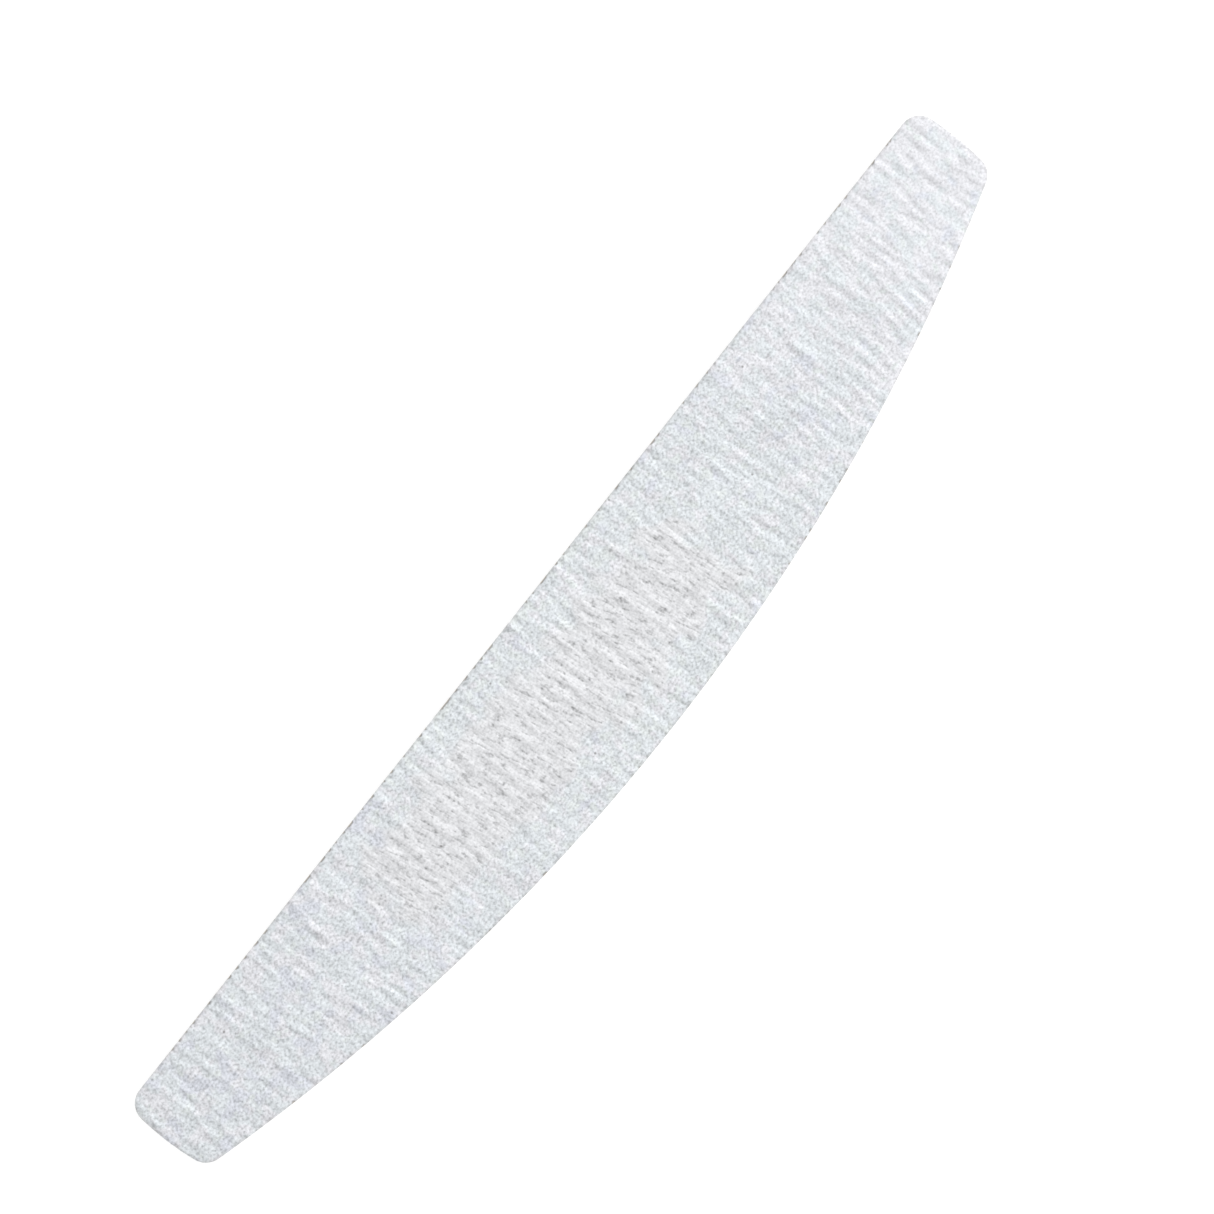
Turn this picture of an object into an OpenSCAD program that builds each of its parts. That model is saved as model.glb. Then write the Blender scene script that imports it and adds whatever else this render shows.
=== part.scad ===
// Half-moon nail file board: a plastic core between two foam cushions,
// faced on both sides with abrasive paper, all cut to one outline by a die.
// Millimetres. +X runs along the length, +Y towards the straight filing edge,
// +Z up. The origin is under the middle of the board, on its resting face.

/* [Outline] */
// Length of the blank, end to end
blank_l = 178; // [150:1:200]
// Width of the blank at the middle, straight edge to curved edge
blank_w = 27; // [22:0.5:32]
// Radius of the curved filing edge
curve_r = 304; // [260:1:400]
// Radius of the slight bow of each end
end_r = 42; // [30:1:90]
// Radius of the four corners
corner_r = 3; // [1.5:0.1:4]

/* [Layers] */
// Thickness of the plastic core board
core_t = 1.04; // [0.6:0.02:1.6]
// Thickness of each foam cushion
foam_t = 1; // [0.6:0.1:2]
// Thickness of each film of adhesive
glue_t = 0.08; // [0.05:0.01:0.15]
// Thickness of the paper that backs the abrasive
paper_t = 0.2; // [0.12:0.01:0.3]
// Thickness of the abrasive coat on the paper
coat_t = 0.12; // [0.08:0.01:0.25]

/* [Cut edges] */
// How far the core's cut edge stands back from the paper's
core_inset = 0.04; // [0:0.01:0.2]
// How far each foam cushion's cut edge stands back
foam_inset = 0.12; // [0:0.01:0.3]
// How far each adhesive film's cut edge stands back
glue_inset = 0.18; // [0:0.01:0.4]

/* [Hidden] */

$fn = 360;

// The layers as pairs of thickness and edge inset, from the resting face up.
// The board is the same from the core outwards on both sides.
facing = [
    [coat_t, 0],
    [paper_t, 0],
    [glue_t, glue_inset],
    [foam_t, foam_inset],
    [glue_t, glue_inset]
];
core_z = sum_t(facing, len(facing));
board_t = 2 * core_z + core_t;

// Centre of the circle that the curved edge lies on
curve_c = [0, curve_r - blank_w / 2];
// Height of the curved edge where it meets the end of the blank
curve_end_y = curve_c.y - sqrt(curve_r ^ 2 - (blank_l / 2) ^ 2);
// Centre of the circle that the right-hand end lies on
end_c = [blank_l / 2 - end_r, (blank_w / 2 + curve_end_y) / 2];
// Centres of the right-hand corners, at the straight and the curved edge
straight_corner = [
    end_c.x + sqrt((end_r - corner_r) ^ 2 - (blank_w / 2 - corner_r - end_c.y) ^ 2),
    blank_w / 2 - corner_r
];
curved_corner = right_crossing(curve_c, curve_r - corner_r, end_c, end_r - corner_r);
// A length that reaches well past the blank from any corner
reach = 4 * corner_r;
// How much larger the corner circles are cut, so that they cross the other
// edges at a slight angle and leave no sliver at a tangent point
cross_r = 0.02;

// Thickness of the first n layers of a list
function sum_t(layers, n) = n == 0 ? 0 : layers[n - 1][0] + sum_t(layers, n - 1);

// Unit vector from one point towards another
function towards(from, to) = (to - from) / norm(to - from);

// The right-hand one of the two points where circles a and b cross
function right_crossing(a, ra, b, rb) =
    let (d = norm(b - a))
    let (along = (ra ^ 2 - rb ^ 2 + d ^ 2) / (2 * d))
    let (side = sqrt(ra ^ 2 - along ^ 2))
    let (u = towards(a, b))
    a + along * u + side * (u.y < 0 ? [-u.y, u.x] : [u.y, -u.x]);

// What lies outside a rounded corner, between its two tangent directions
module corner_waste(centre, dir_a, dir_b, r) {
    difference() {
        polygon([
            centre,
            centre + reach * dir_a,
            centre + reach * (dir_a + dir_b),
            centre + reach * dir_b
        ]);
        translate(centre) circle(r + cross_r);
    }
}

// Both corners of the right-hand end
module right_waste(inset) {
    r = corner_r - inset;
    corner_waste(straight_corner, [0, 1], towards(end_c, straight_corner), r);
    corner_waste(
        curved_corner,
        towards(end_c, curved_corner),
        towards(curve_c, curved_corner),
        r
    );
}

// All that lies to the left of the right-hand end
module left_of_end(inset) {
    translate([-blank_l, -blank_w]) square([blank_l + end_c.x, 2 * blank_w]);
    translate(end_c) circle(end_r - inset);
}

// The half-moon outline, drawn in by the inset all the way round
module half_moon(inset) {
    difference() {
        intersection() {
            translate([-blank_l, inset - blank_w])
                square([2 * blank_l, 1.5 * blank_w - 2 * inset]);
            translate(curve_c) circle(curve_r - inset);
            left_of_end(inset);
            mirror([1, 0]) left_of_end(inset);
        }
        right_waste(inset);
        mirror([1, 0]) right_waste(inset);
    }
}

// One layer of the laminate, standing on height z
module sheet(z, thickness, inset) {
    translate([0, 0, z])
        linear_extrude(thickness)
            half_moon(inset);
}

// Layer n of the facing below the core, counted from the resting face
module lower_layer(n) {
    sheet(sum_t(facing, n), facing[n][0], facing[n][1]);
}

// The same layer above the core
module upper_layer(n) {
    sheet(board_t - sum_t(facing, n + 1), facing[n][0], facing[n][1]);
}

// Grit and resin that bear on the nail
module lower_abrasive_coat() { color([0.74, 0.76, 0.79]) lower_layer(0); }
module upper_abrasive_coat() { color([0.74, 0.76, 0.79]) upper_layer(0); }

// Paper that carries the grit
module lower_backing_paper() { color([0.72, 0.69, 0.65]) lower_layer(1); }
module upper_backing_paper() { color([0.72, 0.69, 0.65]) upper_layer(1); }

// Film that holds the paper to its cushion
module lower_paper_adhesive() { color([0.86, 0.85, 0.8]) lower_layer(2); }
module upper_paper_adhesive() { color([0.86, 0.85, 0.8]) upper_layer(2); }

// Soft layer that lets the paper follow the nail
module lower_foam_cushion() { color([0.93, 0.93, 0.92]) lower_layer(3); }
module upper_foam_cushion() { color([0.93, 0.93, 0.92]) upper_layer(3); }

// Film that holds the cushion to the core
module lower_core_adhesive() { color([0.86, 0.85, 0.8]) lower_layer(4); }
module upper_core_adhesive() { color([0.86, 0.85, 0.8]) upper_layer(4); }

// Stiff strip that keeps the board straight
module core_board() {
    color([0.45, 0.46, 0.48]) sheet(core_z, core_t, core_inset);
}

lower_abrasive_coat();
lower_backing_paper();
lower_paper_adhesive();
lower_foam_cushion();
lower_core_adhesive();
core_board();
upper_core_adhesive();
upper_foam_cushion();
upper_paper_adhesive();
upper_backing_paper();
upper_abrasive_coat();
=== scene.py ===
import math

import bpy
import numpy as np
from mathutils import Matrix, Vector


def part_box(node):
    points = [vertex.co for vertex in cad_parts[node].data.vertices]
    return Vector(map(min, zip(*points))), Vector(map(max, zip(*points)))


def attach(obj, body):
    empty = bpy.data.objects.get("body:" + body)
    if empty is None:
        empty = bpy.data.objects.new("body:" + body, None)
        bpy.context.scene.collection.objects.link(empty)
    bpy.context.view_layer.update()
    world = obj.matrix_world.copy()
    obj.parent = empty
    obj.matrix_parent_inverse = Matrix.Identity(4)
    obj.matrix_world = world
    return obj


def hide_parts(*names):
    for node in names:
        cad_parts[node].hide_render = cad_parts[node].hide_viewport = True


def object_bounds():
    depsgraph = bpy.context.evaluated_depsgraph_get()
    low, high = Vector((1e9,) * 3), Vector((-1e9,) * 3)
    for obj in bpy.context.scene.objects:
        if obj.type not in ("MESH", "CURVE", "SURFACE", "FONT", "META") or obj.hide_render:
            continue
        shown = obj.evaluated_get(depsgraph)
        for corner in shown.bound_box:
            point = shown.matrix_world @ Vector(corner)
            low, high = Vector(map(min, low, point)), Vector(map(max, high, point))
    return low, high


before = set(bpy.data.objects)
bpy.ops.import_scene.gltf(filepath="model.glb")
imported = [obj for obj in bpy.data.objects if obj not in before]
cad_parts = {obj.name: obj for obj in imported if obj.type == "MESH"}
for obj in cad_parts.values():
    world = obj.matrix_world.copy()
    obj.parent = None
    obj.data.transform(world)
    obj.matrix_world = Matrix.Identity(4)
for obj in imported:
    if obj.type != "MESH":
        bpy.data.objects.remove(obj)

# Half-moon nail file board. Every layer of the laminate is rebuilt around its
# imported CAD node: the same outline and heights, with the relief, the rolled
# rim and the cut edges that the real board has. Lengths are in metres.
MM = 0.001
CAD_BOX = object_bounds()

# ---------------------------------------------------------------- sizes

# Radii of the outline, as in the CAD model; its length and width are the frame's
CURVE_R = 304 * MM
END_R = 42 * MM
CORNER_R = 3 * MM

# Cells along and across the board: the abrasive's, and those of the finer cut edges
GRID = (688, 84)
FINE_RIM = (1376, 168)

# Insets of the rings of points round the abrasive's rim, close together where the
# rim is rolled and chipped. The last one is the border of the even grid.
RIM_INSETS = [step * MM for step in (
    0, 0.05, 0.11, 0.18, 0.26, 0.36, 0.48, 0.64, 0.84,
    1.08, 1.34, 1.6, 1.86, 2.12, 2.38, 2.64, 2.9,
)]

# The die presses the rim down as it cuts
ROLL_DROP = 0.13 * MM
ROLL_WIDTH = 0.95 * MM

# Chips in the abrasive's rim: how far they reach in from it, cut it back and sink it
CHIP_REACH = 0.35 * MM
CHIP_RETREAT = 0.14 * MM
CHIP_SINK = 0.045 * MM
# The softness of one chip and of a chipped stretch, along the rim
CHIP_SOFTNESS = 0.22 * MM
STRETCH_SOFTNESS = 4 * MM
# The noise at which a chip starts and is full, and what a stretch, the straight
# edge and the ends of the board add to that noise
CHIP_START = 1.6
CHIP_FULL = 2.3
STRETCH_CHIPS = 0.3
STRAIGHT_CHIPS = 1.2
END_CHIPS = -0.9
# How far the straight edge's chips reach round its corners, and the distances from
# the ends of the board between which the chips thin out
STRAIGHT_REACH = 0.6 * MM
THIN_FROM = 12 * MM
THIN_TO = 4 * MM
# How ragged the rim is between the chips, how softly, and roughly the gap between
# its points
CRUMBLE = 0.012 * MM
CRUMBLE_SOFTNESS = 0.12 * MM
CRUMBLE_GAP = 0.25 * MM

# Abrasive relief: how far its mean and its deepest point lie under the CAD face
MEAN_DEPTH = 0.055 * MM
DEEPEST = 0.1 * MM
# The soft ripples: spread of the height, length of a wave along the board, softness
# across and along it, and the share of the height that wear takes away
RIPPLE_HEIGHT = 0.0158 * MM
RIPPLE_PITCH = 2.0 * MM
RIPPLE_SOFTNESS = (1.25 * MM, 0.75 * MM)
RIPPLE_WORN_OFF = 0.65
# The coarse grit: spread of the height, and softness across and along the board
GRIT_HEIGHT = 0.011 * MM
GRIT_SOFTNESS = (0.16 * MM, 0.16 * MM)
# The pits in the burnished zone: depth, softness across and along the board, and the
# noise at which they start
STREAK_DEPTH = 0.022 * MM
STREAK_SOFTNESS = (0.45 * MM, 0.16 * MM)
STREAK_START = 1.1

# The burnished zone in the middle of the upper face: centre, half sizes, slope of
# its axis, how much it narrows on the left, and from where to where
WORN_CENTRE = (-11.5 * MM, 0.9 * MM)
WORN_HALF = (33 * MM, 7.6 * MM)
WORN_SLOPE = -0.045
WORN_TAPER = 1.8 * MM
TAPER_FROM = -8 * MM
TAPER_TO = -30 * MM
# Its border: how far it strays, how softly, and half the width over which it fades
WORN_STRAY = 1.3 * MM
WORN_SOFTNESS = (0.9 * MM, 0.9 * MM)
WORN_FADE = 1.5 * MM

# Cut edges: how hollow the foam springs back, how far the core stands back and
# its corners break off, how far the adhesive stands back and the paper leans in
FOAM_HOLLOW = 0.16 * MM
CORE_BACK = 0.012 * MM
CORE_BROKEN = 0.05 * MM
ADHESIVE_BACK = 0.05 * MM
PAPER_LEAN = 0.02 * MM
# How round the foam's hollow is, less being fuller, and the share of the core's
# height that each of its broken corners takes
FOAM_ROUNDNESS = 0.8
CORE_CORNER = 1 / 12
# Roughness of the edges: spread, softness along the edge and softness upwards
FOAM_ROUGH = (0.016 * MM, 0.07 * MM, 0.06 * MM)
CORE_ROUGH = (0.005 * MM, 0.1 * MM, 0.5 * MM)
ADHESIVE_ROUGH = (0.035 * MM, 0.5 * MM, 0.1 * MM)
PAPER_ROUGH = (0.012 * MM, 0.15 * MM, 0.04 * MM)
# Rows of cells up each edge
FOAM_ROWS = 10
CORE_ROWS = 12
ADHESIVE_ROWS = 2
PAPER_ROWS = 4
# The die cuts a layer cleanly near its outer face and tears the rest: the heights,
# as shares of the layer, where the tear starts and is full, and how far the edge's
# roughness changes it
TEAR_START = 0.55
TEAR_FULL = 0.15
TEAR_RAGGED = 0.4
# The flat faces are closed this far inside the edge, out of the rolled rim's way
CAP_INSET = 1.5 * ROLL_WIDTH
# Folds sharper than this stay sharp in the shading
SHARP_ANGLE = math.radians(50)

# Seeds of the noise on each side, in the core and at the burnished zone's border
SIDE_SEEDS = (("upper", 100), ("lower", 200))
CORE_SEED = 300
WORN_SEED = 71

# ---------------------------------------------------------------- finish values

# The abrasive's main tints, its spots, its burnished zone, the painted shade along the rim, and the
# dark colour of the specks and of the painted shade in the chips
LAVENDER = (0.604, 0.607, 0.633, 1)
TEAL = (0.572, 0.601, 0.622, 1)
BLUE = (0.551, 0.569, 0.616, 1)
GREEN = (0.580, 0.610, 0.612, 1)
NEUTRAL = (0.619, 0.622, 0.636, 1)
RIM_SHADE_COLOUR = (0.26, 0.20, 0.15, 1)
DARK_SPECK_AND_CHIP_SHADE = (0.15, 0.14, 0.135, 1)
# The darker and the paler colour of the other materials
PAPER_COLOURS = ((0.42, 0.39, 0.35, 1), (0.50, 0.47, 0.43, 1))
ADHESIVE_COLOURS = ((0.46, 0.44, 0.39, 1), (0.56, 0.54, 0.48, 1))
CORE_COLOURS = ((0.155, 0.16, 0.17, 1), (0.19, 0.195, 0.205, 1))
FOAM_COLOUR = (0.585, 0.585, 0.575)

# The abrasive's tone drifts along the board. Each drift starts at the first X and is
# full at the second; the one in the middle goes by the distance from X = 0.
# The first drift is a painted sheen towards the right-hand end, the second painted shade towards the
# left-hand end.
PAINTED_SHEEN_END = (33 * MM, 94 * MM)
PAINTED_SHADE_END = (-20 * MM, -100 * MM)
LENGTHWISE = (-70 * MM, 80 * MM)
MIDDLE = (50 * MM, 15 * MM)

# Noise values between which a tint, the dark grains and the gaps between burnished
# flakes set in
TEAL_RANGE = (0.43, 0.53)
BLUE_RANGE = (0.52, 0.66)
GREEN_RANGE = (0.60, 0.72)
GRAIN_RANGE = (0.60, 0.76)
GAP_RANGE = (0.34, 0.48)
# What the drifts add to the noise of each tint, and how neutral wear makes the tint
PAINTED_SHEEN_TEAL = -0.09
MIDDLE_TEAL = 0.04
LENGTHWISE_BLUE = -0.08
MIDDLE_BLUE = -0.04
MIDDLE_GREEN = 0.09
WORN_NEUTRAL = 0.93

# Sizes of the abrasive's patches of tint and of its marks, along X, Y and Z
MOTTLE_SIZE = (3.4 * MM, 4.2 * MM, 4 * MM)
BLUE_SIZE = (2.6 * MM, 2.9 * MM, 3 * MM)
GREEN_SIZE = (1.6 * MM, 2 * MM, 2 * MM)
SPECKLE_SIZE = 0.40 * MM
GRAIN_SIZE = 0.3 * MM
STREAK_SIZE = (0.74 * MM, 2.7 * MM, 2.6 * MM)
FLAKE_SIZE = (0.52 * MM, 1.8 * MM, 2 * MM)
FLAKE_TURN = math.radians(9)
CLOUD_SIZE = (3.5 * MM, 5 * MM, 5 * MM)
# Dark specks where a grain has come out: the side of a square with one speck in it,
# and the speck's radius and darkness
SPECK_GAP = 21 * MM
SPECK_RADIUS = 0.24 * MM
SPECK_STRENGTH = 0.7

# How strongly the abrasive's light follows its speckle: everywhere, in the burnished zone, in the
# gaps between its flakes and at the end with the painted sheen
SPECKLE_SWING = 1.23
WORN_SPECKLE = -0.50
GAP_SPECKLE = 0.5
PAINTED_SHEEN_SPECKLE = -0.50
# The light before any mark, and how strongly it follows the other marks; the ripples' swing and the
# two ends' swings paint light and shade
BASE_LIGHT = 1.015
GRAIN_SWING = -0.13
STREAK_SWING = 0.44
GAP_SWING = -0.24
CLOUD_SWING = 0.06
RIPPLE_PAINTED_SHADE = 0.05
PAINTED_SHEEN_SWING = 0.06
PAINTED_SHADE_SWING = -0.035
# How strongly the lightest and the darkest marks are dimmed
DIMMING = -0.6
# The painted shade along the rim: its strength, and the millimetres from the rim over which it fades
# out
RIM_SHADE_STRENGTH = 0.11
RIM_SHADE_REACH = (0.12, 0.5)
# How strongly a full chip is darkened with painted shade
CHIP_SHADE = 0.85
# Height of the finest unevenness, and how many times as high the burnished flakes are
GRIT_BUMP = 0.018 * MM
FLAKE_BUMP = 6.5

# Width of a cell of the foam
FOAM_CELL = 0.22 * MM

# ---------------------------------------------------------------- stage values

WHITE = (1, 1, 1, 1)

# The table: half its side, its colour and its glow; and the glow of the room
FLOOR_HALF = 4.0
FLOOR_COLOUR = (0.35, 0.35, 0.35, 1)
FLOOR_GLOW = 0.78
ROOM_GLOW = 0.77

# The key light: its place, its diameter and its power in watts
KEY_PLACE = (3.20, -0.64, 2.40)
KEY_SIZE = 1.2
KEY_POWER = 122

CAMERA_PLACE = (-13.9 * MM, 10.24 * MM, 354.7 * MM)
CAMERA_AIM = (6.14 * MM, 4.09 * MM, 4.0 * MM)
# Which way on the floor is up in the picture, as an angle from +X
CAMERA_UP = math.radians(38.20)
# Focal length and sensor width, in the millimetres that the camera takes
CAMERA_LENS = 74.73
CAMERA_SENSOR = 36
CAMERA_NEAR = 0.01
CAMERA_FAR = 20


# ---------------------------------------------------------------- seeded noise

def smooth_noise(seed, shape, cell, blur, pitch=None):
    """Periodic noise with zero mean and unit spread on a grid.

    cell is the grid's spacing and blur the softness, each along rows and then
    columns. pitch makes waves of that length along the columns' direction.
    """
    random = np.random.default_rng(seed)
    spectrum = np.fft.rfft2(random.standard_normal(shape))
    waves_0 = np.fft.fftfreq(shape[0], cell[0])
    waves_1 = np.fft.rfftfreq(shape[1], cell[1])
    if pitch:
        waves_1 = waves_1 - 1 / pitch
    gain_0 = np.exp(-2 * (math.pi * waves_0 * blur[0]) ** 2)
    gain_1 = np.exp(-2 * (math.pi * waves_1 * blur[1]) ** 2)
    field = np.fft.irfft2(spectrum * gain_0[:, None] * gain_1[None, :], s=shape)
    return (field - field.mean()) / field.std()


class Field:
    """Noise over the whole face, read at any point of it."""

    CELL = 0.1 * MM
    SHAPE = (320, 1840)

    def __init__(self, seed, blur, pitch=None):
        self.values = smooth_noise(seed, self.SHAPE, (self.CELL, self.CELL), blur, pitch)

    def __call__(self, x, y):
        rows, columns = self.SHAPE
        u = x / self.CELL + columns / 2
        v = y / self.CELL + rows / 2
        u0 = np.floor(u).astype(int)
        v0 = np.floor(v).astype(int)
        fu = u - u0
        fv = v - v0
        left, right = u0 % columns, (u0 + 1) % columns
        low, high = v0 % rows, (v0 + 1) % rows
        near = self.values[low, left] * (1 - fu) + self.values[low, right] * fu
        far = self.values[high, left] * (1 - fu) + self.values[high, right] * fu
        return near * (1 - fv) + far * fv


def fade(value, start, stop):
    """Smooth step from 0 at start to 1 at stop."""
    t = np.clip((value - start) / (stop - start), 0, 1)
    return t * t * (3 - 2 * t)


# ---------------------------------------------------------------- outline

def arc(centre, radius, start, stop):
    """An arc, as its length and a function from fractions to its points."""
    def at(t):
        angle = start + (stop - start) * t
        return centre + radius * np.stack([np.cos(angle), np.sin(angle)], axis=-1)
    return radius * abs(stop - start), at


def line(start, stop):
    """A line, in the same form as an arc."""
    return math.dist(start, stop), lambda t: start + (stop - start) * t[:, None]


def walk(chain, t):
    """Points at the fractions t of the way along a chain of arcs and lines."""
    lengths = np.array([length for length, at in chain])
    ends = np.cumsum(lengths)
    way = t * ends[-1]
    piece = np.minimum(np.searchsorted(ends, way, side="right"), len(chain) - 1)
    points = np.empty((len(t), 2))
    for k, (length, at) in enumerate(chain):
        here = piece == k
        points[here] = at((way[here] - ends[k] + length) / length)
    return points


def direction(start, stop):
    """The angle from +X of the way from one point to another."""
    return math.atan2(stop[1] - start[1], stop[0] - start[0])


class HalfMoon:
    """The outline that the die cuts, drawn in by any inset below the corner radius."""

    def __init__(self, lowest, highest):
        self.half_l = (highest.x - lowest.x) / 2
        self.half_w = (highest.y - lowest.y) / 2
        self.curve_c = np.array([0, CURVE_R - self.half_w])
        curve_end_y = self.curve_c[1] - math.sqrt(CURVE_R ** 2 - self.half_l ** 2)
        self.end_c = np.array([self.half_l - END_R, (self.half_w + curve_end_y) / 2])
        corner_y = self.half_w - CORNER_R
        reach = math.sqrt((END_R - CORNER_R) ** 2 - (corner_y - self.end_c[1]) ** 2)
        self.straight_corner = np.array([self.end_c[0] + reach, corner_y])
        self.curved_corner = self.crossing(CURVE_R - CORNER_R, END_R - CORNER_R)

    def crossing(self, curve_r, end_r):
        """Where circles about the curve's and the end's centres cross, on the right."""
        gap = math.dist(self.curve_c, self.end_c)
        along = (curve_r ** 2 - end_r ** 2 + gap ** 2) / (2 * gap)
        aside = math.sqrt(curve_r ** 2 - along ** 2)
        unit = (self.end_c - self.curve_c) / gap
        return self.curve_c + along * unit + aside * np.array([-unit[1], unit[0]])

    def sides(self, inset, cells):
        """Points along the lower and upper sides, left to right, and up the left and right ends."""
        top = math.pi / 2
        to_top = direction(self.end_c, self.straight_corner)
        to_low = direction(self.end_c, self.curved_corner)
        to_curve = direction(self.curve_c, self.curved_corner)
        mid_top = (top + to_top) / 2
        mid_low = (to_curve + to_low) / 2
        corner_r = CORNER_R - inset
        straight_y = self.half_w - inset
        lower_half = [
            arc(self.curve_c, CURVE_R - inset, -top, to_curve),
            arc(self.curved_corner, corner_r, to_curve, mid_low),
        ]
        end = [
            arc(self.curved_corner, corner_r, mid_low, to_low),
            arc(self.end_c, END_R - inset, to_low, to_top),
            arc(self.straight_corner, corner_r, to_top, mid_top),
        ]
        upper_half = [
            line(np.array([0, straight_y]), np.array([self.straight_corner[0], straight_y])),
            arc(self.straight_corner, corner_r, top, mid_top),
        ]
        half_way = np.linspace(0, 1, cells[0] // 2 + 1)
        lower = walk(lower_half, half_way)
        upper = walk(upper_half, half_way)
        right = walk(end, np.linspace(0, 1, cells[1] + 1))
        mirror = np.array([-1, 1])
        lower = np.concatenate([lower[:0:-1] * mirror, lower])
        upper = np.concatenate([upper[:0:-1] * mirror, upper])
        return lower, upper, right * mirror, right

    def ring(self, inset, cells):
        """The outline as one closed anticlockwise row of points."""
        lower, upper, left, right = self.sides(inset, cells)
        return np.concatenate([lower[:-1], right[:-1], upper[:0:-1], left[:0:-1]])

    def grid(self, inset, cells):
        """Points that fill the outline in even rows and columns."""
        lower, upper, left, right = self.sides(inset, cells)
        u = np.linspace(0, 1, cells[0] + 1)[None, :, None]
        v = np.linspace(0, 1, cells[1] + 1)[:, None, None]
        across = (1 - v) * lower[None] + v * upper[None]
        along = (1 - u) * left[:, None] + u * right[:, None]
        corners = ((1 - u) * (1 - v) * lower[0] + u * (1 - v) * lower[-1]
                   + (1 - u) * v * upper[0] + u * v * upper[-1])
        return across + along - corners

    def depth(self, x, y):
        """How far inside the outline each point lies."""
        x = np.abs(x)
        from_curve = CURVE_R - np.hypot(x - self.curve_c[0], y - self.curve_c[1])
        from_end = END_R - np.hypot(x - self.end_c[0], y - self.end_c[1])
        # The end's circle only counts on its outer side
        from_end = np.where(x > self.end_c[0], from_end, self.half_l)
        depth = np.minimum(np.minimum(self.half_w - y, from_curve), from_end)
        to_top = direction(self.end_c, self.straight_corner)
        to_low = direction(self.end_c, self.curved_corner)
        to_curve = direction(self.curve_c, self.curved_corner)
        for corner, first, second in (
            (self.straight_corner, to_top, math.pi / 2),
            (self.curved_corner, to_curve, to_low),
        ):
            angle = np.arctan2(y - corner[1], x - corner[0])
            in_wedge = (angle >= first) & (angle <= second)
            from_corner = CORNER_R - np.hypot(x - corner[0], y - corner[1])
            depth = np.where(in_wedge, from_corner, depth)
        return depth


OUTLINE = HalfMoon(*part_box("upper_abrasive_coat"))


def outward(ring):
    """Unit normals of an anticlockwise ring of points."""
    along = np.roll(ring, -1, axis=0) - np.roll(ring, 1, axis=0)
    normal = np.stack([along[:, 1], -along[:, 0]], axis=-1)
    return normal / np.linalg.norm(normal, axis=1, keepdims=True)


def roll(depth):
    """How far the die has pressed the face down at that distance from the rim."""
    return ROLL_DROP * np.clip(1 - depth / ROLL_WIDTH, 0, 1) ** 2


# ---------------------------------------------------------------- meshes

def ring_index(cells):
    """Numbers of the ring's points by side: lower, upper, left and right."""
    along, across = cells
    count = 2 * (along + across)
    lower = np.arange(along + 1)
    right = along + np.arange(across + 1)
    upper = 2 * along + across - np.arange(along + 1)
    left = (count - np.arange(across + 1)) % count
    return lower, upper, left, right


def strip_cap(first, cells):
    """Faces that close a ring with one strip across the board for each cell."""
    lower, upper, left, right = (side + first for side in ring_index(cells))
    quads = np.stack([lower[:-1], lower[1:], upper[1:], upper[:-1]], axis=1).tolist()
    quads[0] += left[-2:0:-1].tolist()
    quads[-1] = [lower[-2], *right.tolist(), upper[-2]]
    return quads


def grid_cap(first, inner, cells):
    """Faces of an even grid inside a ring. inner is the number of the grid's first inner point."""
    along, across = cells
    number = np.empty((across + 1, along + 1), int)
    lower, upper, left, right = (side + first for side in ring_index(cells))
    number[1:-1, 1:-1] = inner + np.arange((across - 1) * (along - 1)).reshape(across - 1, along - 1)
    number[0], number[-1], number[:, 0], number[:, -1] = lower, upper, left, right
    return np.stack(
        [number[:-1, :-1], number[:-1, 1:], number[1:, 1:], number[1:, :-1]], axis=-1
    ).reshape(-1, 4).tolist()


def make_layer(node, rings, cells, inner=None):
    """A closed mesh through rings of points that start on the inner face, go
    over the cut edge and end on the outer face. inner fills the outer face
    with a grid of points; without it the face is closed with plain strips.
    """
    count = len(rings[0])
    here = np.arange(count)
    after = np.roll(here, -1)
    faces = [list(reversed(face)) for face in strip_cap(0, cells)]
    for k in range(len(rings) - 1):
        low = k * count
        high = low + count
        faces += np.stack([low + here, low + after, high + after, high + here], axis=1).tolist()
    points = np.concatenate(rings)
    last = (len(rings) - 1) * count
    if inner is None:
        faces += strip_cap(last, cells)
    else:
        faces += grid_cap(last, len(points), cells)
        points = np.concatenate([points, inner])
    mesh = bpy.data.meshes.new(node + "_detail")
    mesh.from_pydata(points.tolist(), [], faces)
    mesh.update()
    piece = bpy.data.objects.new(node + "_detail", mesh)
    bpy.context.scene.collection.objects.link(piece)
    return piece


def at_height(ring, height):
    """A flat ring raised to one height, or to one height for each point."""
    return np.column_stack([ring, np.broadcast_to(height, len(ring))])


def store(piece, name, values):
    """Keeps one number for each point, which the materials read."""
    layer = piece.data.attributes.new(name, "FLOAT", "POINT")
    layer.data.foreach_set("value", np.asarray(values, np.float32))


def finish_piece(piece, node, material, flipped):
    """Sets the shading of a new layer and puts it in its node's place."""
    if flipped:
        piece.data.flip_normals()
    piece.data.shade_smooth()
    piece.data.set_sharp_from_angle(angle=SHARP_ANGLE)
    piece.data.materials.append(material)
    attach(piece, "root")
    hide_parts(node)


def span(node, side):
    """Inner height, outer height and outward sign of a layer on that side."""
    lowest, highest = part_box(node)
    if side == "upper":
        return lowest.z, highest.z, 1
    return highest.z, lowest.z, -1


def inset_of(node):
    """How far the node's cut edge stands back from the abrasive's."""
    return OUTLINE.half_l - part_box(node)[1].x


# ---------------------------------------------------------------- materials

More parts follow.
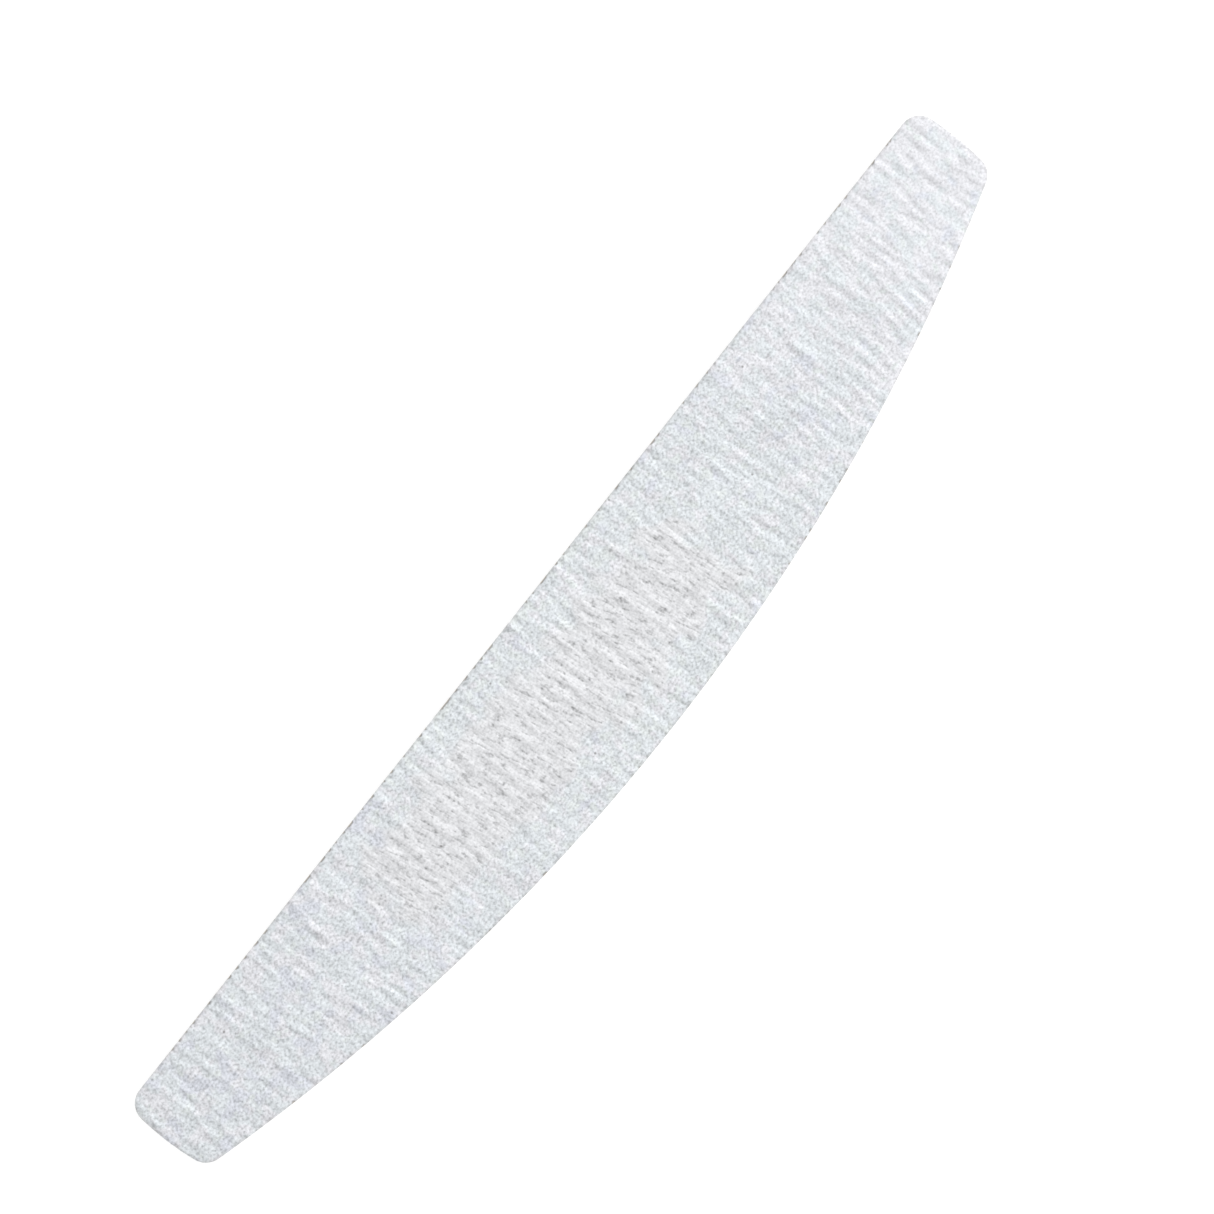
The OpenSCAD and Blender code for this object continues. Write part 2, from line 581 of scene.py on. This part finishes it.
class Shader:
    """A principled material and the few kinds of node that it is made from."""

    def __init__(self, name, roughness, specular=0.5):
        self.material = bpy.data.materials.new(name)
        self.material.use_nodes = True
        self.tree = self.material.node_tree
        self.surface = self.tree.nodes["Principled BSDF"]
        self.surface.inputs["Roughness"].default_value = roughness
        self.surface.inputs["Specular IOR Level"].default_value = specular
        self.place = self.tree.nodes.new("ShaderNodeTexCoord").outputs["Object"]

    def put(self, socket, value):
        """Links an output to the socket, or sets the socket's own number or colour."""
        if isinstance(value, bpy.types.NodeSocket):
            self.tree.links.new(value, socket)
        else:
            socket.default_value = value

    def noise(self, size, shift=0.0, detail=2.0, roughness=0.5, distortion=0.0, turn=0.0,
              place=None):
        """Noise from 0 to 1 whose lumps are about size big: one length, or one for each axis.

        shift picks another part of the noise, and turn leans it about the upright axis.
        """
        sizes = size if isinstance(size, tuple) else (size, size, size)
        mapping = self.tree.nodes.new("ShaderNodeMapping")
        mapping.vector_type = "TEXTURE"
        mapping.inputs["Scale"].default_value = sizes
        mapping.inputs["Rotation"].default_value = (0, 0, turn)
        mapping.inputs["Location"].default_value = [shift * s for s in sizes]
        self.put(mapping.inputs["Vector"], place or self.place)
        noise = self.tree.nodes.new("ShaderNodeTexNoise")
        noise.inputs["Scale"].default_value = 1.0
        noise.inputs["Detail"].default_value = detail
        noise.inputs["Roughness"].default_value = roughness
        noise.inputs["Distortion"].default_value = distortion
        self.put(noise.inputs["Vector"], mapping.outputs["Vector"])
        return noise.outputs["Fac"]

    def specks(self, gap, radius, strength):
        """Scattered round dots, 0 between them and strength at their middle.

        There is about one dot in each square with the gap as its side. A dot fades
        from a fifth of its radius outwards.
        """
        voronoi = self.tree.nodes.new("ShaderNodeTexVoronoi")
        voronoi.voronoi_dimensions = "2D"
        voronoi.inputs["Scale"].default_value = 1 / gap
        self.put(voronoi.inputs["Vector"], self.place)
        return self.ramp(voronoi.outputs["Distance"], 0.2 * radius / gap, radius / gap, strength, 0.0)

    def math(self, operation, *values):
        """One sum on numbers or outputs."""
        node = self.tree.nodes.new("ShaderNodeMath")
        node.operation = operation
        for socket, value in zip(node.inputs, values):
            self.put(socket, value)
        return node.outputs[0]

    def ramp(self, value, low, high, start=0.0, stop=1.0):
        """Maps low..high smoothly onto start..stop."""
        node = self.tree.nodes.new("ShaderNodeMapRange")
        node.interpolation_type = "SMOOTHSTEP"
        limits = {"From Min": low, "From Max": high, "To Min": start, "To Max": stop}
        for name, number in limits.items():
            node.inputs[name].default_value = number
        self.put(node.inputs["Value"], value)
        return node.outputs["Result"]

    def swing(self, value, amount, middle=0.5):
        """A factor about 1 that follows a noise value about its middle."""
        return self.math("MULTIPLY_ADD", value, amount, 1 - amount * middle)

    def vary(self, value, *swings):
        """A value times the swing of each noise, given as (noise, amount, middle)."""
        for swing in swings:
            value = self.math("MULTIPLY", value, self.swing(*swing))
        return value

    def mix(self, factor, first, second):
        """The first colour at factor 0 and the second at 1."""
        node = self.tree.nodes.new("ShaderNodeMix")
        node.data_type = "RGBA"
        # Of a mix node's sockets, these are the ones for colours
        self.put(node.inputs[0], factor)
        self.put(node.inputs[6], first)
        self.put(node.inputs[7], second)
        return node.outputs[2]

    def tone(self, colour, factor):
        """A colour times a number."""
        node = self.tree.nodes.new("ShaderNodeVectorMath")
        node.operation = "SCALE"
        self.put(node.inputs[0], colour)
        self.put(node.inputs["Scale"], factor)
        return node.outputs["Vector"]

    def attribute(self, name):
        """A number that the mesh stores for each point."""
        node = self.tree.nodes.new("ShaderNodeAttribute")
        node.attribute_name = name
        return node.outputs["Fac"]

    def bump(self, height, distance, strength=1.0):
        """Fine unevenness of the surface, distance high for a height of 1."""
        node = self.tree.nodes.new("ShaderNodeBump")
        node.inputs["Distance"].default_value = distance
        node.inputs["Strength"].default_value = strength
        self.put(node.inputs["Height"], height)
        self.put(self.surface.inputs["Normal"], node.outputs["Normal"])

    def colour(self, value):
        """Sets the base colour."""
        self.put(self.surface.inputs["Base Color"], value)

    def axis(self, number):
        """The place along X, Y or Z, numbered 0, 1 and 2."""
        split = self.tree.nodes.new("ShaderNodeSeparateXYZ")
        self.put(split.inputs[0], self.place)
        return split.outputs[number]

    def around(self, up_scale):
        """A place made from the way round the rim and the height, for marks on a cut edge."""
        join = self.tree.nodes.new("ShaderNodeCombineXYZ")
        self.put(join.inputs[0], self.attribute("way"))
        self.put(join.inputs[2], self.math("MULTIPLY", self.axis(2), up_scale))
        return join.outputs[0]


def abrasive_tint(shader, worn, painted_sheen):
    """Lavender and teal patches with blue and green spots, and neutral where worn."""
    lengthwise = shader.ramp(shader.axis(0), *LENGTHWISE)
    middle = shader.ramp(shader.math("ABSOLUTE", shader.axis(0)), *MIDDLE)
    mottle = shader.noise(MOTTLE_SIZE, shift=3.0, detail=2.5, roughness=0.6)
    # The end with the painted sheen has less teal
    mottle = shader.math("MULTIPLY_ADD", painted_sheen, PAINTED_SHEEN_TEAL, mottle)
    mottle = shader.math("MULTIPLY_ADD", middle, MIDDLE_TEAL, mottle)
    tint = shader.mix(shader.ramp(mottle, *TEAL_RANGE), LAVENDER, TEAL)
    blue_spots = shader.noise(BLUE_SIZE, shift=11.0, detail=1.5)
    blue_spots = shader.math("MULTIPLY_ADD", lengthwise, LENGTHWISE_BLUE, blue_spots)
    blue_spots = shader.math("MULTIPLY_ADD", middle, MIDDLE_BLUE, blue_spots)
    tint = shader.mix(shader.ramp(blue_spots, *BLUE_RANGE), tint, BLUE)
    green_spots = shader.noise(GREEN_SIZE, shift=19.0, detail=1.5)
    green_spots = shader.math("MULTIPLY_ADD", middle, MIDDLE_GREEN, green_spots)
    tint = shader.mix(shader.ramp(green_spots, *GREEN_RANGE), tint, GREEN)
    return shader.mix(shader.math("MULTIPLY", worn, WORN_NEUTRAL), tint, NEUTRAL)


def abrasive_light(shader, worn, painted_sheen, speckle, flakes):
    """How light the abrasive is at each point, as a factor on its tint, with painted shade and light
    on the ripples, a painted sheen at the right-hand end and painted shade at the left-hand one.
    """
    ripple = shader.attribute("ripple")
    # Painted shade that deepens towards the left-hand end
    painted_shade_end = shader.ramp(shader.axis(0), *PAINTED_SHADE_END)
    grains = shader.ramp(shader.noise(GRAIN_SIZE, shift=23.0, detail=1), *GRAIN_RANGE)
    streaks = shader.noise(STREAK_SIZE, shift=7.0, detail=1.5, distortion=0.2)
    gaps = shader.math("MULTIPLY", worn, shader.ramp(flakes, *GAP_RANGE, 1.0, 0.0))
    cloud = shader.noise(CLOUD_SIZE, shift=9.0, detail=1)
    coarseness = shader.math("MULTIPLY_ADD", worn, WORN_SPECKLE, SPECKLE_SWING)
    coarseness = shader.math("MULTIPLY_ADD", gaps, GAP_SPECKLE, coarseness)
    coarseness = shader.math("MULTIPLY_ADD", painted_sheen, PAINTED_SHEEN_SPECKLE, coarseness)
    light = shader.math("SUBTRACT", speckle, 0.5)
    light = shader.math("MULTIPLY_ADD", light, coarseness, BASE_LIGHT)
    light = shader.vary(
        light,
        (grains, GRAIN_SWING, 0.1),
        (streaks, STREAK_SWING, 0.5),
        (gaps, GAP_SWING, 0.1),
    )
    excess = shader.math("SUBTRACT", light, 1.0)
    dimming = shader.math("MULTIPLY", shader.math("MULTIPLY", excess, excess), DIMMING)
    light = shader.math("ADD", light, dimming)
    # The ripples' swing paints shade in their troughs and light on their crests
    return shader.vary(
        light,
        (cloud, CLOUD_SWING, 0.5),
        (ripple, RIPPLE_PAINTED_SHADE, 0.0),
        (painted_sheen, PAINTED_SHEEN_SWING, 0.0),
        (painted_shade_end, PAINTED_SHADE_SWING, 0.0),
    )


def abrasive_material():
    """Grey-white grit in clear resin, darkened with painted shade along the rim and in the chips."""
    shader = Shader("abrasive_grit", roughness=0.6, specular=0.35)
    worn = shader.attribute("worn")
    # A painted sheen that grows towards the right-hand end: paler, more even and less teal
    painted_sheen = shader.ramp(shader.axis(0), *PAINTED_SHEEN_END)
    speckle = shader.noise(SPECKLE_SIZE, shift=5.0, detail=1.4, roughness=0.55)
    flakes = shader.noise(FLAKE_SIZE, shift=29.0, detail=1.6, turn=FLAKE_TURN)
    tint = abrasive_tint(shader, worn, painted_sheen)
    light = abrasive_light(shader, worn, painted_sheen, speckle, flakes)
    # Painted shade along the rim, darkest at the cut edge
    rim_shade = shader.ramp(shader.attribute("rim"), *RIM_SHADE_REACH, RIM_SHADE_STRENGTH, 0.0)
    colour = shader.mix(rim_shade, shader.tone(tint, light), RIM_SHADE_COLOUR)
    colour = shader.mix(shader.specks(SPECK_GAP, SPECK_RADIUS, SPECK_STRENGTH), colour, DARK_SPECK_AND_CHIP_SHADE)
    # The chips are real notches in the rim; their dark colour is painted shade
    chip_shade = shader.math("MULTIPLY", shader.attribute("chip"), CHIP_SHADE)
    shader.colour(shader.mix(chip_shade, colour, DARK_SPECK_AND_CHIP_SHADE))
    shader.put(shader.surface.inputs["Roughness"], shader.ramp(speckle, 0.3, 0.7, 0.75, 0.5))
    scales = shader.math("MULTIPLY", flakes, shader.math("MULTIPLY", worn, FLAKE_BUMP))
    shader.bump(shader.math("ADD", speckle, scales), GRIT_BUMP)
    return shader.material


def paper_material():
    """Tan backing paper, seen on its cut edge as layered fibre."""
    shader = Shader("backing_paper_fibre", roughness=0.8, specular=0.2)
    edge = shader.around(up_scale=6.0)
    fibre = shader.noise((0.5 * MM, 1, 0.12 * MM), shift=2.0, detail=3, roughness=0.65, place=edge)
    stain = shader.noise((3 * MM, 1, 2 * MM), shift=4.0, detail=1, place=edge)
    tan = shader.mix(stain, *PAPER_COLOURS)
    shader.colour(shader.tone(tan, shader.swing(fibre, 0.35)))
    shader.bump(fibre, 0.03 * MM, 0.7)
    return shader.material


def adhesive_material():
    """A thin film of clear glue that has yellowed a little."""
    shader = Shader("adhesive_film", roughness=0.35, specular=0.5)
    beads = shader.noise(0.4 * MM, shift=1.0, detail=2)
    shader.colour(shader.mix(beads, *ADHESIVE_COLOURS))
    shader.bump(beads, 0.03 * MM, 0.5)
    return shader.material


def foam_material():
    """White closed-cell foam, cut through its cells."""
    shader = Shader("cushion_foam", roughness=0.85, specular=0.25)
    voronoi = shader.tree.nodes.new("ShaderNodeTexVoronoi")
    voronoi.inputs["Scale"].default_value = 1 / FOAM_CELL
    shader.put(voronoi.inputs["Vector"], shader.place)
    cells = shader.ramp(voronoi.outputs["Distance"], 0.1, 0.75)
    cloud = shader.noise(1.6 * MM, shift=6.0, detail=2)
    tone = shader.math("MULTIPLY", shader.swing(cells, 0.3), shader.swing(cloud, 0.12))
    shader.colour(shader.tone(FOAM_COLOUR, tone))
    shader.bump(cells, 0.04 * MM, 0.7)
    return shader.material


def core_material():
    """Grey plastic strip with the upright score marks of a cutting die."""
    shader = Shader("core_plastic", roughness=0.45, specular=0.5)
    edge = shader.around(up_scale=0.25)
    scores = shader.noise((0.16 * MM, 1, 1 * MM), shift=8.0, detail=3, roughness=0.6, place=edge)
    cloud = shader.noise(4 * MM, shift=12.0, detail=2)
    grey = shader.mix(cloud, *CORE_COLOURS)
    torn = shader.attribute("torn")
    tone = shader.math("MULTIPLY", shader.swing(scores, 0.45), shader.swing(torn, 0.3, middle=0.0))
    shader.colour(shader.tone(grey, tone))
    shader.put(shader.surface.inputs["Roughness"], shader.ramp(torn, 0.0, 1.0, 0.38, 0.7))
    shader.bump(scores, 0.02 * MM, 0.7)
    return shader.material


# ---------------------------------------------------------------- layers

def spacing_of(ring):
    """The mean gap between neighbouring points of a ring."""
    return np.linalg.norm(np.roll(ring, -1, axis=0) - ring, axis=1).mean()


def noise_round(ring, gap, seed, softness):
    """Noise with zero mean and unit spread, one number for each point of a ring."""
    return smooth_noise(seed, (1, len(ring)), (1, gap), (0, softness))[0]


def worn_zone(x, y):
    """1 in the burnished middle of the upper face, 0 away from it, with a ragged border."""
    stray = Field(WORN_SEED, WORN_SOFTNESS)(x, y) * WORN_STRAY
    along = x - WORN_CENTRE[0]
    across = y - WORN_CENTRE[1] - WORN_SLOPE * along
    beyond_x = np.abs(along) - WORN_HALF[0]
    beyond_y = np.abs(across) - WORN_HALF[1] + WORN_TAPER * fade(along, TAPER_FROM, TAPER_TO)
    outside = np.hypot(np.maximum(beyond_x, 0), np.maximum(beyond_y, 0))
    distance = outside + np.minimum(np.maximum(beyond_x, beyond_y), 0) + stray
    return 1 - fade(distance, -WORN_FADE, WORN_FADE)


def relief_of(x, y, seed, worn):
    """Height of the abrasive about its mean: soft ripples and coarse grit, pitted where worn.

    The ripples' own height comes second, as a number with unit spread.
    """
    ripple = Field(seed, RIPPLE_SOFTNESS, RIPPLE_PITCH)(x, y)
    grit = Field(seed + 1, GRIT_SOFTNESS)(x, y)
    streak = Field(seed + 2, STREAK_SOFTNESS)(x, y)
    pits = np.clip(streak - STREAK_START, 0, None) * worn
    height = RIPPLE_HEIGHT * ripple * (1 - RIPPLE_WORN_OFF * worn) + GRIT_HEIGHT * grit
    return height - STREAK_DEPTH * pits, ripple


def chips_of(seed, ring):
    """How badly the rim is chipped at each point of the ring, from 0 to 1."""
    gap = spacing_of(ring)
    fine = noise_round(ring, gap, seed, CHIP_SOFTNESS)
    stretch = noise_round(ring, gap, seed + 1, STRETCH_SOFTNESS)
    straight = fade(ring[:, 1], OUTLINE.half_w - STRAIGHT_REACH, OUTLINE.half_w)
    ends = fade(np.abs(ring[:, 0]), OUTLINE.half_l - THIN_FROM, OUTLINE.half_l - THIN_TO)
    level = fine + STRETCH_CHIPS * stretch + STRAIGHT_CHIPS * straight + END_CHIPS * ends
    return fade(level, CHIP_START, CHIP_FULL)


def make_abrasive(side, seed, material):
    """The grit layer: a dense grid of relief with rings of points over the rolled rim."""
    node = side + "_abrasive_coat"
    inner_z, outer_z, sign = span(node, side)
    edge = OUTLINE.ring(0, GRID)
    chips = chips_of(seed + 10, edge)
    crumble = noise_round(edge, CRUMBLE_GAP, seed + 12, CRUMBLE_SOFTNESS)
    rings = []
    chip_values = []

    def add_ring(inset, height):
        ring = OUTLINE.ring(inset, GRID)
        nearness = np.clip(1 - inset / CHIP_REACH, 0, 1)
        retreat = nearness * (CHIP_RETREAT * chips + CRUMBLE * (1 + crumble))
        ring = ring - outward(ring) * retreat[:, None]
        rings.append(at_height(ring, height))
        chip_values.append(chips * nearness)

    for inset in (2 * ROLL_WIDTH, ROLL_WIDTH, ROLL_WIDTH / 2, 0):
        add_ring(inset, inner_z - sign * roll(inset))
    add_ring(0, (inner_z + outer_z - sign * MEAN_DEPTH) / 2 - sign * roll(0))
    first_face_ring = len(rings)
    for inset in RIM_INSETS:
        add_ring(inset, outer_z)
    inner = OUTLINE.grid(RIM_INSETS[-1], GRID)[1:-1, 1:-1].reshape(-1, 2)
    inner = at_height(inner, outer_z)

    face = np.concatenate(rings[first_face_ring:] + [inner])
    x, y = face[:, 0], face[:, 1]
    depth = np.maximum(OUTLINE.depth(x, y), 0)
    worn = worn_zone(x, y) if side == "upper" else np.zeros(len(face))
    relief, ripple = relief_of(x, y, seed, worn)
    chip_face = np.concatenate(chip_values[first_face_ring:] + [np.zeros(len(inner))])
    sunk = np.clip(MEAN_DEPTH - relief + CHIP_SINK * chip_face, 0, DEEPEST) + roll(depth)
    face[:, 2] = outer_z - sign * sunk

    count = len(edge)
    for k in range(len(RIM_INSETS)):
        rings[first_face_ring + k] = face[k * count:(k + 1) * count]
    piece = make_layer(node, rings, GRID, face[len(RIM_INSETS) * count:])
    hidden = np.zeros(first_face_ring * count)
    store(piece, "ripple", np.concatenate([hidden, ripple]))
    store(piece, "worn", np.concatenate([hidden, worn]))
    store(piece, "rim", np.concatenate([hidden, depth / MM]))
    store(piece, "chip", np.concatenate(chip_values + [np.zeros(len(inner))]))
    finish_piece(piece, node, material, sign < 0)


def make_edged_layer(node, side, seed, material, cells, rows, profile, rough, rolled=1.0):
    """A plain layer with a detailed cut edge.

    profile gives the extra inset at each fraction of the height, from the
    inner face to the outer one. rough is (spread, softness along, softness up).
    rolled is the share of the rim's roll that the layer follows.
    """
    inner_z, outer_z, sign = span(node, side)
    inset = inset_of(node)
    base = OUTLINE.ring(inset, cells)
    normal = outward(base)
    gap = spacing_of(base)
    row_gap = abs(outer_z - inner_z) / rows
    spread, soft_along, soft_up = rough
    # The noise repeats upwards, so it is made well taller than the edge
    texture = smooth_noise(seed, (2 * rows + 8, len(base)), (row_gap, gap), (soft_up, soft_along))
    cap = OUTLINE.ring(inset + CAP_INSET, cells)
    rings = [at_height(cap, inner_z)]
    torn = [np.zeros(len(base))]
    for row, fraction in enumerate(np.linspace(0, 1, rows + 1)):
        back = profile(fraction) + spread * texture[row]
        ring = base - normal * np.maximum(back, 0)[:, None]
        height = inner_z + (outer_z - inner_z) * fraction - sign * roll(inset) * rolled * fraction
        rings.append(at_height(ring, height))
        tear = texture[row] * TEAR_RAGGED + fade(fraction, TEAR_START, TEAR_FULL)
        torn.append(np.clip(tear, 0, 1))
    rings.append(at_height(cap, outer_z))
    torn.append(np.zeros(len(base)))
    piece = make_layer(node, rings, cells)
    store(piece, "way", np.tile(np.arange(len(base)) * gap, len(rings)))
    store(piece, "torn", np.concatenate(torn))
    finish_piece(piece, node, material, sign < 0)
    return piece


def foam_profile(fraction):
    """The cushion was squeezed as it was cut and springs back hollow."""
    return FOAM_HOLLOW * math.sin(math.pi * fraction) ** FOAM_ROUNDNESS


def core_profile(fraction):
    """Small broken corners at both faces of the plastic."""
    corner = max(0, 1 - min(fraction, 1 - fraction) / CORE_CORNER)
    return CORE_BROKEN * corner ** 2 + CORE_BACK


def paper_profile(fraction):
    """The paper's edge leans in towards its inner face."""
    return PAPER_LEAN * (1 - fraction)


def adhesive_profile(fraction):
    """The film stands back by the same amount all the way up."""
    return ADHESIVE_BACK


def make_layers():
    """All eleven layers: five on each side of the core, and the core."""
    abrasive = abrasive_material()
    paper = paper_material()
    adhesive = adhesive_material()
    foam = foam_material()
    for side, seed in SIDE_SEEDS:
        make_abrasive(side, seed, abrasive)
        make_edged_layer(side + "_backing_paper", side, seed + 20, paper, FINE_RIM,
                         PAPER_ROWS, paper_profile, PAPER_ROUGH)
        make_edged_layer(side + "_paper_adhesive", side, seed + 30, adhesive, GRID,
                         ADHESIVE_ROWS, adhesive_profile, ADHESIVE_ROUGH)
        cushion = make_edged_layer(side + "_foam_cushion", side, seed + 40, foam, FINE_RIM,
                                   FOAM_ROWS, foam_profile, FOAM_ROUGH)
        make_edged_layer(side + "_core_adhesive", side, seed + 50, adhesive, GRID,
                         ADHESIVE_ROWS, adhesive_profile, ADHESIVE_ROUGH, rolled=0.0)
    make_edged_layer("core_board", "upper", CORE_SEED, core_material(), FINE_RIM,
                     CORE_ROWS, core_profile, CORE_ROUGH, rolled=0.0)


# ---------------------------------------------------------------- stage

def make_floor():
    """A pale, faintly glowing table, far wider than the board."""
    mesh = bpy.data.meshes.new("floor")
    low, high = -FLOOR_HALF, FLOOR_HALF
    corners = [(low, low, 0), (high, low, 0), (high, high, 0), (low, high, 0)]
    mesh.from_pydata(corners, [], [(0, 1, 2, 3)])
    floor = bpy.data.objects.new("floor", mesh)
    bpy.context.scene.collection.objects.link(floor)
    shader = Shader("pale_table", roughness=0.9, specular=0.0)
    shader.colour(FLOOR_COLOUR)
    shader.surface.inputs["Emission Color"].default_value = WHITE
    shader.surface.inputs["Emission Strength"].default_value = FLOOR_GLOW
    mesh.materials.append(shader.material)
    floor.location.z = CAD_BOX[0].z


def make_room():
    """An even white room all round."""
    world = bpy.data.worlds.new("white_room")
    world.use_nodes = True
    background = world.node_tree.nodes["Background"]
    background.inputs["Color"].default_value = WHITE
    background.inputs["Strength"].default_value = ROOM_GLOW
    bpy.context.scene.world = world


def make_light():
    """One broad soft key from the board's right-hand end, aimed at the origin."""
    data = bpy.data.lights.new("key", "AREA")
    data.shape = "DISK"
    data.size = KEY_SIZE
    data.energy = KEY_POWER
    lamp = bpy.data.objects.new("key", data)
    lamp.location = KEY_PLACE
    lamp.rotation_mode = "QUATERNION"
    lamp.rotation_quaternion = (-Vector(KEY_PLACE)).to_track_quat("-Z", "Y")
    bpy.context.scene.collection.objects.link(lamp)


def make_camera():
    """Almost straight down, turned so that the board runs up to the right."""
    place = Vector(CAMERA_PLACE)
    back = (place - Vector(CAMERA_AIM)).normalized()
    up = Vector((math.cos(CAMERA_UP), math.sin(CAMERA_UP), 0))
    right = up.cross(back).normalized()
    up = back.cross(right)
    data = bpy.data.cameras.new("camera")
    data.lens = CAMERA_LENS
    data.sensor_width = CAMERA_SENSOR
    data.clip_start = CAMERA_NEAR
    data.clip_end = CAMERA_FAR
    camera = bpy.data.objects.new("camera", data)
    camera.matrix_world = Matrix.Translation(place) @ Matrix((right, up, back)).transposed().to_4x4()
    bpy.context.scene.collection.objects.link(camera)
    bpy.context.scene.camera = camera


make_layers()
make_floor()
make_room()
make_light()
make_camera()
bpy.context.scene.view_settings.view_transform = "Standard"
